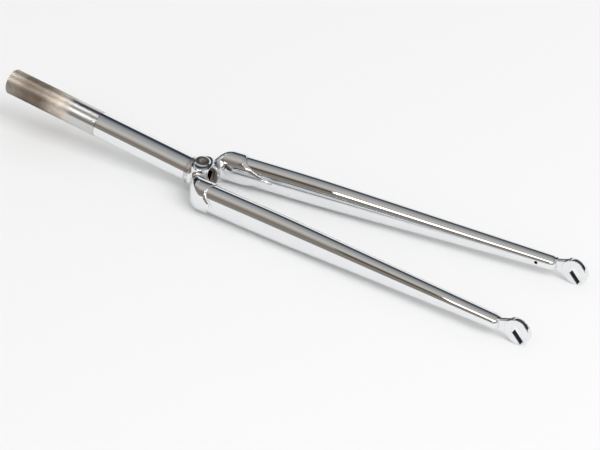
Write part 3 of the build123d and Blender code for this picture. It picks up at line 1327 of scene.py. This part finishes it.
@dataclass
class ForkCrown:
    """The crown: a casting with a neck, brake bosses, sloping shoulders, lugs and a ported nose.

    Lugs are shares of the half depth and places of the edge down the blade. Fades are a start and a width.
    """

    lines: ForkLines
    seat_radius: float = 13.2
    seat_height: float = 5.2
    seat_lap: float = 1.0
    neck_radius: float = 14.7
    neck_depth: float = 8.0
    neck_edge: float = 1.2
    neck_round: float = 1.5
    nose_radius: float = 11.0
    nose_place: float = 14.5
    nose_blend: float = 7.0
    port_radius: float = 7.0
    port_angle: float = 42.0
    port_edge: float = 2.0
    bore_radius: float = 12.4
    bore_end: float = 13.8
    nose_bore_radius: float = 8.5
    nose_bore_end: float = 16.8
    boss_radius: float = 7.0
    boss_front: float = 16.6
    boss_rear: float = 15.6
    boss_edge: float = 1.0
    boss_blend: float = 1.5
    pad_length: float = 17.5
    pad_width: float = 26.0
    pad_front: float = 15.2
    pad_edge: float = 2.2
    front_hole: float = 3.1
    rear_hole: float = 4.1
    hole_edge: float = 0.4
    half_width: float = 10.75
    half_depth: float = 15.0
    socket_wall: float = 1.5
    socket_lap: float = 0.2
    socket_end: float = 31.0
    socket_edge: float = 0.5
    shoulder_place: float = 13.0
    shoulder_angle: float = 32.5
    shoulder_wall: float = 6.5
    shoulder_edge: float = 8.0
    web_top: float = 1.0
    web_bottom: float = 19.5
    web_half: float = 8.5
    web_reach: float = 20.0
    web_round: float = 5.0
    casting_blend: float = 5.0
    skirt_top: float = 8.0
    lug_edge: float = 0.6
    lug_thinning: float = 0.85
    lug_slope: float = 2.8
    lug_meeting: float = 3.0
    lug_reach: float = 1.2
    lug_samples: int = 240
    lug_softness: int = 15
    outer_lug: Tuple[Range, ...] = ((1.0, 33.0), (0.73, 31.2), (0.44, 33.5), (0.16, 38.6), (0.0, 41.0))
    inner_lug: Tuple[Range, ...] = (
        (1.0, 33.0), (0.73, 38.0), (0.48, 46.0), (0.26, 58.5), (0.16, 64.0), (0.0, 66.0))
    hole_fade: Range = (-0.35, 0.5)
    worn_fade: Range = (-0.35, 0.25)
    worn_rim_fade: Range = (-0.4, 0.3)
    seat_fade: Range = (-0.1, 0.2)
    low: Place = (-7.13, -44.75, -19.62)
    high: Place = (75.0, 44.75, 24.5)
    pitch: float = 0.5

    def _lug_table(self, lug: Sequence[Range]) -> Tuple[Array, Array, Array]:
        """A lug's edge as a smooth table.

        Args:
            lug: Shares of the half depth and places down the blade.

        Returns:
            Distances from the blade's middle line, places of the edge, and its slope.
        """
        depth = self.half_depth + self.socket_wall
        known = np.array(sorted((share * depth, place) for share, place in lug))
        table = np.linspace(0.0, depth * self.lug_reach, self.lug_samples)
        edge = np.interp(table, known[:, 0], known[:, 1])
        width = self.lug_softness
        padded = np.concatenate([edge[width:0:-1], edge, np.full(width, edge[-1])])
        kernel = np.hanning(2 * width + 1)
        edge = np.convolve(padded, kernel / kernel.sum(), mode="valid")
        return table, edge, np.gradient(edge, table)

    def _roof(self, points: Array, drop: float) -> Array:
        """Heights over the shoulder's slope.

        Args:
            points: Places in fork coordinates, folded to the left side.
            drop: How far down the fork the slope is moved.

        Returns:
            Signed distances, negative under the slope.
        """
        turn = math.radians(self.shoulder_angle)
        up = np.array([-math.cos(turn), math.sin(turn), 0.0])
        crest = np.array([self.shoulder_place + drop, self.lines.blade_spacing / 2, 0.0])
        return (points - crest) @ up

    def _socket(self, points: Array) -> Tuple[Array, Array, Array]:
        """The socket and what a blade fills in it.

        Args:
            points: Places in fork coordinates, folded to the left side.

        Returns:
            Distances to the socket's upper body, to its lug skirt and to the blade's room.
        """
        u, out, fore = BladeLine.of(self.lines, Side.LEFT).local(points)
        skin = ellipse_distance(out, fore, self.half_width + self.socket_wall, self.half_depth + self.socket_wall)
        roof = self._roof(points, 0.0)
        upper = round_both(round_both(skin, roof, self.shoulder_edge), u - self.socket_end, self.socket_edge)
        cuts = []
        for lug in (self.outer_lug, self.inner_lug):
            table, edge, slope = self._lug_table(lug)
            lean = np.interp(np.abs(fore), table, slope)
            cuts.append((u - np.interp(np.abs(fore), table, edge)) / np.sqrt(1.0 + lean**2))
        outer = np.clip(out / self.lug_meeting + 0.5, 0.0, 1.0)
        cut = outer * cuts[0] + (1.0 - outer) * cuts[1]
        thinned = self.lug_thinning * np.clip(1.0 + cut / self.lug_slope, 0.0, 1.0)
        skirt = round_both(np.maximum(skin + thinned, roof + self.skirt_top), cut, self.lug_edge)
        blade = ellipse_distance(out, fore, self.half_width - self.socket_lap, self.half_depth - self.socket_lap)
        return upper, skirt, np.maximum(blade, roof + self.shoulder_wall)

    def shape(self, points: Array) -> Array:
        """The casting's distance field.

        Args:
            points: Places in fork coordinates.

        Returns:
            Signed distances, negative in the metal.
        """
        folded = points.copy()
        folded[:, 1] = np.abs(folded[:, 1])
        a, y, h = folded.T
        radius = np.sqrt(y**2 + h**2)
        neck = round_both(radius - self.neck_radius, a - self.neck_depth, self.neck_round)
        nose = np.sqrt((a - self.nose_place) ** 2 + radius**2) - self.nose_radius
        body = blend_union(neck, nose, self.nose_blend)
        upper, skirt, room = self._socket(folded)
        body = blend_union(body, self._web(folded), self.casting_blend)
        body = blend_union(body, upper, self.casting_blend)
        body = np.minimum(body, skirt)
        body = blend_union(body, self._pad(a, y, h), self.casting_blend)
        body = blend_union(body, self._boss(a, y, h), self.boss_blend)
        body = round_both(body, -a, self.neck_edge)
        seat = np.maximum(radius - self.seat_radius, np.maximum(-self.seat_height - a, a - self.seat_lap))
        body = np.minimum(body, seat)
        for bore, end in ((self.bore_radius, self.bore_end), (self.nose_bore_radius, self.nose_bore_end)):
            body = np.maximum(body, -np.maximum(radius - bore, a - end))
        body = round_both(body, -self._port(a, y, h), self.port_edge)
        body = round_both(body, -self._drill(a, y, h), self.hole_edge)
        return np.maximum(body, -room)

    def _web(self, points: Array) -> Array:
        """The arms between the neck and the sockets.

        Args:
            points: Places folded to the left side.

        Returns:
            Signed distances.
        """
        a, y, h = points.T
        roof = self._roof(points, self.socket_wall)
        side_on = round_both(np.maximum(roof, self.web_top - a), a - self.web_bottom, self.web_round)
        side_on = np.maximum(side_on, y - self.web_reach)
        return round_both(side_on, np.abs(h) - self.web_half, self.web_round)

    def _from_bolt(self, a: Array, y: Array) -> Array:
        """Distances from the brake bolt's axis."""
        return np.sqrt((a - self.lines.blade_start_along) ** 2 + y**2)

    def _over_boss(self, h: Array) -> Array:
        """Heights over the faces of the bosses, front and rear."""
        return np.where(h > 0.0, h - self.boss_front, -h - self.boss_rear)

    def _boss(self, a: Array, y: Array, h: Array) -> Array:
        """The round bosses for the brake bolt, front and rear."""
        return round_both(self._from_bolt(a, y) - self.boss_radius, self._over_boss(h), self.boss_edge)

    def _pad(self, a: Array, y: Array, h: Array) -> Array:
        """The flat that the front boss stands on."""
        outline = ellipse_distance(a - self.pad_length / 2, y, self.pad_length / 2, self.pad_width / 2)
        return np.maximum(round_both(outline, h - self.pad_front, self.pad_edge), -h)

    def _drill(self, a: Array, y: Array, h: Array) -> Array:
        """The stepped brake bolt hole."""
        return self._from_bolt(a, y) - np.where(h > 0.0, self.front_hole, self.rear_hole)

    def _port(self, a: Array, y: Array, h: Array) -> Array:
        """The round port, from the nose's middle out to the front and down.

        Args:
            a: Places along the steerer.
            y: Places across.
            h: Places to the front.

        Returns:
            Signed distances, negative in the port.
        """
        turn = math.radians(self.port_angle)
        out = (a - self.nose_place) * math.cos(turn) + h * math.sin(turn)
        side = -(a - self.nose_place) * math.sin(turn) + h * math.cos(turn)
        return np.maximum(np.sqrt(side**2 + y**2) - self.port_radius, -out)

    def build(self) -> bpy.types.Object:
        """Meshes the casting and marks its zones.

        Returns:
            The crown.
        """
        points, quads, normals = FieldMesher(self.shape, self.low, self.high, self.pitch).mesh()
        piece = make_object(self.lines, "crown_casting", points, quads, normals)
        a, y, h = points.T
        bore = np.maximum(np.sqrt(y**2 + h**2) - self.bore_radius, a - self.nose_bore_end)
        hole = np.minimum(np.minimum(self._port(a, y, h), self._drill(a, y, h)), bore)
        rim = self._from_bolt(a, y) - self.boss_radius
        add_zone(piece, Zone.BARE, fade(-hole, *self.hole_fade))
        add_zone(piece, Zone.WORN, fade(self._over_boss(h), *self.worn_fade) * fade(-rim, *self.worn_rim_fade))
        add_zone(piece, Zone.SEAT, fade(-a, *self.seat_fade))
        return piece


@dataclass
class ForkEnd:
    """One fork end: a slotted boss on a flared neck that is brazed into the blade tip."""

    lines: ForkLines
    side: Side
    radius: float = 11.6
    lip: float = 2.4
    thickness: float = 6.0
    edge: float = 0.8
    neck_thickness: float = 4.8
    neck_edge: float = 2.0
    neck_radius: float = 5.9
    neck_place: float = -17.5
    neck_blend: float = 0.8
    tab_depth: float = 11.0
    slot_radius: float = 4.5
    slot_length: float = 60.0
    slot_edge: float = 0.45
    low: Place = (-31.0, -4.2, -13.5)
    high: Place = (15.5, 4.2, 16.0)
    pitch: float = 0.42

    def _slot_angle(self) -> float:
        """Angle of the slot from the blade's direction, towards the rear.

        Returns:
            The angle in radians.
        """
        slot = self.lines.slot_direction
        level = self.lines.turn_to_row(self.lines.blade_way)
        rear = self.lines.turn_to_row(self.lines.blade_rear)
        return math.atan2(float(slot @ rear), float(slot @ level))

    @staticmethod
    def _bar(x: Array, z: Array, angle: float, length: float, radius: float) -> Array:
        """Distance to a round-ended bar that starts at the axle."""
        down = np.clip(x * math.cos(angle) + z * math.sin(angle), 0.0, length)
        return np.sqrt((x - down * math.cos(angle)) ** 2 + (z - down * math.sin(angle)) ** 2) - radius

    def shape(self, points: Array) -> Array:
        """The fork end's distance field.

        Args:
            points: Places from the axle: along the blade, out from the middle plane, and to the rear.

        Returns:
            Signed distances, negative in the metal.
        """
        x, y, z = points.T
        angle = self._slot_angle()
        boss = round_both(self._bar(x, z, angle, self.lip, self.radius), np.abs(y) - self.thickness / 2, self.edge)
        share = np.clip(x / self.neck_place, 0.0, 1.0)
        flare = self.radius + (self.neck_radius - self.radius) * share
        neck = np.sqrt((x - share * self.neck_place) ** 2 + z**2) - flare
        neck = round_both(neck, np.abs(y) - self.neck_thickness / 2, self.neck_edge)
        half_tab = self.tab_depth / 2
        tab = np.maximum(np.abs(x - self.neck_place + half_tab) - half_tab, np.abs(z) - self.neck_radius)
        tab = np.maximum(tab, np.abs(y) - self.neck_thickness / 2)
        metal = np.minimum(blend_union(boss, neck, self.neck_blend), tab)
        slot = self._bar(x, z, angle, self.slot_length, self.slot_radius)
        return round_both(metal, -slot, self.slot_edge)

    def build(self) -> bpy.types.Object:
        """Meshes the fork end.

        Returns:
            The fork end.
        """
        points, quads, normals = FieldMesher(self.shape, self.low, self.high, self.pitch).mesh()
        turn = np.stack([self.lines.blade_way, ACROSS, self.lines.blade_rear])
        axle = np.array([self.lines.axle_along, self.side.value * self.lines.end_middle, self.lines.axle_forward])
        flipped = [face[::-1] for face in quads.tolist()]
        name = self.side.word + "_slotted_end"
        return make_object(self.lines, name, axle + points @ turn, flipped, normals @ turn)


# Studio

def make_card(name: str, corners: Sequence[Place]) -> bpy.types.Object:
    """Makes a flat sheet for the studio.

    Args:
        name: The sheet's name.
        corners: Its corners in metres, turning left.

    Returns:
        The new object.
    """
    mesh = bpy.data.meshes.new(name)
    mesh.from_pydata(corners, [], [tuple(range(len(corners)))])
    return show(name, mesh)


@dataclass(frozen=True)
class Panel:
    """A long bright or dark panel above the fork, by its angle over the X axis from the far horizon."""

    angle: float
    distance: float
    start: float
    end: float
    width: float
    strength: float
    colour: Colour = WHITE
    lean: float = 0.0


@dataclass
class Studio:
    """A pale floor, soft light and the camera."""

    target: Place = (0.04997, -0.02892, 0.02275)
    azimuth: float = 33.28
    elevation: float = 34.437
    roll: float = -0.737
    distance: float = 2.45656
    lens: float = 160.585
    sensor: float = 36.0
    furthest: float = 50.0
    floor_half: float = 3.0
    floor_colour: Colour = (0.90, 0.90, 0.90)
    floor_roughness: float = 0.9
    floor_shine: float = 0.1
    even_light: float = 0.72
    right_lift: float = 0.27
    left_dark: Range = (-0.925, -0.903)
    left_share: Range = (0.12, 1.0)
    left_lean: float = -0.4
    lamp_size: float = 3.6
    lamp_power: float = 192.0
    lamp_place: Place = (4.2, -1.3, 4.4)
    sky: Tuple[Tuple[float, Colour], ...] = (
        (0.0, (0.94, 0.95, 0.96)),
        (29.0, (0.92, 0.93, 0.94)),
        (32.5, (0.042, 0.053, 0.068)),
        (54.0, (0.032, 0.042, 0.054)),
        (66.0, (0.185, 0.195, 0.21)),
        (79.0, (0.31, 0.315, 0.32)),
        (101.0, (0.41, 0.41, 0.405)),
        (120.0, (0.55, 0.525, 0.49)),
        (130.0, (0.515, 0.48, 0.44)),
        (143.0, (0.31, 0.285, 0.257)),
        (151.0, (0.205, 0.18, 0.153)),
        (166.0, (0.24, 0.217, 0.19)),
        (180.0, (0.27, 0.25, 0.222)),
    )
    panels: Tuple[Panel, ...] = (
        Panel(angle=142.0, distance=0.98, start=-0.25, end=1.2, width=0.22, strength=2.8),
        Panel(angle=144.5, distance=0.985, start=-0.43, end=-0.25, width=0.25, strength=1.0,
              colour=(0.10, 0.085, 0.07)),
        Panel(angle=125.0, distance=0.38, start=-0.666, end=-0.339, width=0.14, strength=7.0, lean=0.52),
        Panel(angle=125.0, distance=0.32, start=-0.679, end=-0.289, width=0.125, strength=1.0, lean=0.62,
              colour=(0.52, 0.49, 0.45)),
        Panel(angle=81.0, distance=0.38, start=-0.666, end=-0.339, width=0.16, strength=7.0, lean=0.52),
        Panel(angle=81.0, distance=0.32, start=-0.679, end=-0.289, width=0.142, strength=1.0, lean=0.62,
              colour=(0.32, 0.325, 0.33)),
        Panel(angle=156.0, distance=3.5, start=-0.35, end=1.75, width=0.8, strength=1.3),
        Panel(angle=22.2, distance=0.62, start=0.63, end=1.0, width=0.22, strength=1.0,
              colour=(0.02, 0.024, 0.03)),
    )

    def place_camera(self) -> None:
        """Sets up the camera at the photograph's angle."""
        turn, rise = math.radians(self.azimuth), math.radians(self.elevation)
        back = Vector((math.sin(turn) * math.cos(rise), -math.cos(turn) * math.cos(rise), math.sin(rise)))
        data = bpy.data.cameras.new("camera")
        data.sensor_width = self.sensor
        data.lens = self.lens
        data.clip_end = self.furthest
        camera = show("camera", data)
        camera.location = Vector(self.target) + back * self.distance
        tilt = Quaternion((0.0, 0.0, 1.0), math.radians(self.roll))
        camera.rotation_euler = ((-back).to_track_quat("-Z", "Y") @ tilt).to_euler()
        bpy.context.scene.camera = camera

    def lay_floor(self) -> None:
        """Lays the pale floor."""
        half = self.floor_half
        floor = make_card("floor", [(-half, -half, 0.0), (half, -half, 0.0), (half, half, 0.0), (-half, half, 0.0)])
        material = bpy.data.materials.new("pale_floor")
        material.use_nodes = True
        shader = material.node_tree.nodes["Principled BSDF"]
        shader.inputs["Base Color"].default_value = (*self.floor_colour, 1.0)
        shader.inputs["Roughness"].default_value = self.floor_roughness
        shader.inputs["Specular IOR Level"].default_value = self.floor_shine
        floor.data.materials.append(material)

    def light_sky(self) -> None:
        """Fills the room: even light for the floor, and soft bands for what the metal mirrors."""
        world = bpy.data.worlds.new("studio")
        bpy.context.scene.world = world
        world.use_nodes = True
        world.node_tree.nodes.clear()
        bench = NodeBench(world.node_tree)
        split = bench.node("SeparateXYZ")
        bench.link(bench.node("TexCoord").outputs["Generated"], split.inputs[0])
        x, y, z = split.outputs
        lifted = bench.calculate("MULTIPLY_ADD", bench.calculate("MAXIMUM", x, 0.0), self.right_lift, z)
        turn = bench.calculate("DIVIDE", bench.calculate("ARCTAN2", lifted, y), math.pi)
        bands = bench.ramp(turn, [(degrees / HALF_TURN, colour) for degrees, colour in self.sky])
        left = bench.calculate("MULTIPLY_ADD", y, self.left_lean, x)
        shade = bench.remap(left, self.left_dark, self.left_share)
        path = bench.node("LightPath")
        unscattered = bench.calculate("LESS_THAN", path.outputs["Diffuse Depth"], 0.5)
        mirrored = bench.calculate("MULTIPLY", path.outputs["Is Glossy Ray"], unscattered)
        mix = bench.node("MixShader", Fac=mirrored)
        for number, colour, strength in ((1, WHITE, self.even_light), (2, bands, shade)):
            light = bench.node("Background", Color=colour, Strength=strength)
            bench.link(light.outputs[0], mix.inputs[number])
        bench.link(mix.outputs[0], bench.node("OutputWorld").inputs["Surface"])

    def hang_lamp(self) -> None:
        """Hangs one wide lamp high up beyond the fork ends, which mirrors don't show."""
        data = bpy.data.lights.new("wide_lamp", "AREA")
        data.shape = "SQUARE"
        data.size = self.lamp_size
        data.energy = self.lamp_power
        lamp = show("wide_lamp", data)
        lamp.location = self.lamp_place
        lamp.rotation_euler = (-Vector(self.lamp_place)).to_track_quat("-Z", "Y").to_euler()
        lamp.visible_glossy = False

    def hang_panels(self) -> None:
        """Hangs the long panels that only mirrors show."""
        for number, panel in enumerate(self.panels):
            name = f"panel_{number + 1}"
            half, lean = panel.width / 2, panel.lean
            wide = half * (panel.distance + lean) / panel.distance
            card = make_card(name, [(panel.start, -wide, lean), (panel.end, -half, 0.0), (panel.end, half, 0.0),
                                    (panel.start, wide, lean)])
            turn = math.radians(panel.angle)
            place = Vector((0.0, math.cos(turn), math.sin(turn))) * panel.distance
            card.matrix_world = Matrix.Translation(place) @ Matrix.Rotation(turn - math.pi / 2, 4, "X")
            card.visible_camera = card.visible_diffuse = card.visible_shadow = False
            material = bpy.data.materials.new(name)
            material.use_nodes = True
            material.node_tree.nodes.clear()
            bench = NodeBench(material.node_tree)
            glow = bench.node("Emission", Color=panel.colour, Strength=panel.strength)
            bench.link(glow.outputs[0], bench.node("OutputMaterial").inputs["Surface"])
            card.data.materials.append(material)

    def build(self) -> None:
        """Sets up the whole studio."""
        self.place_camera()
        self.lay_floor()
        self.light_sky()
        self.hang_lamp()
        self.hang_panels()
        bpy.context.scene.view_settings.view_transform = "Standard"


class Fork:
    """The whole fork: builds each piece, dresses it and sets it in the frame."""

    def __init__(self, lines: ForkLines) -> None:
        """Prepares the finishes.

        Args:
            lines: The fork's lines.
        """
        self.lines = lines
        chrome = ChromeFinish("blade_chrome")
        bare = BareSteelFinish()
        self.blade_finish = chrome.build()
        self.end_finish = ChromeFinish("fork_end_chrome").build()
        self.steerer_finish = SteererFinish(chrome, FlashPlatingFinish(), bare).build()
        self.crown_finish = CrownFinish(chrome, bare).build()

    def settle(self, piece: bpy.types.Object, node: str, finish: bpy.types.Material) -> None:
        """Dresses a piece and puts it in place of its solid.

        Args:
            piece: The new piece.
            node: The solid that it stands for.
            finish: The material.
        """
        piece.data.materials.append(finish)
        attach(piece, BODY)
        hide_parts(node)
        LOG.info("%s stands for %s", piece.name, node)

    def build(self) -> None:
        """Builds every piece."""
        self.settle(SteererTube(self.lines).build(), "steerer_tube", self.steerer_finish)
        self.settle(ForkCrown(self.lines).build(), "fork_crown", self.crown_finish)
        for side in Side:
            self.settle(Blade(self.lines, side).build(), side.word + "_blade", self.blade_finish)
            self.settle(ForkEnd(self.lines, side).build(), side.word + "_fork_end", self.end_finish)


def main() -> None:
    """Builds the fork and the studio."""
    logging.basicConfig(level=logging.INFO, format="%(name)s: %(message)s")
    Fork(ForkLines.from_record(frame["record"])).build()
    Studio().build()


if __name__ == "__main__":
    main()
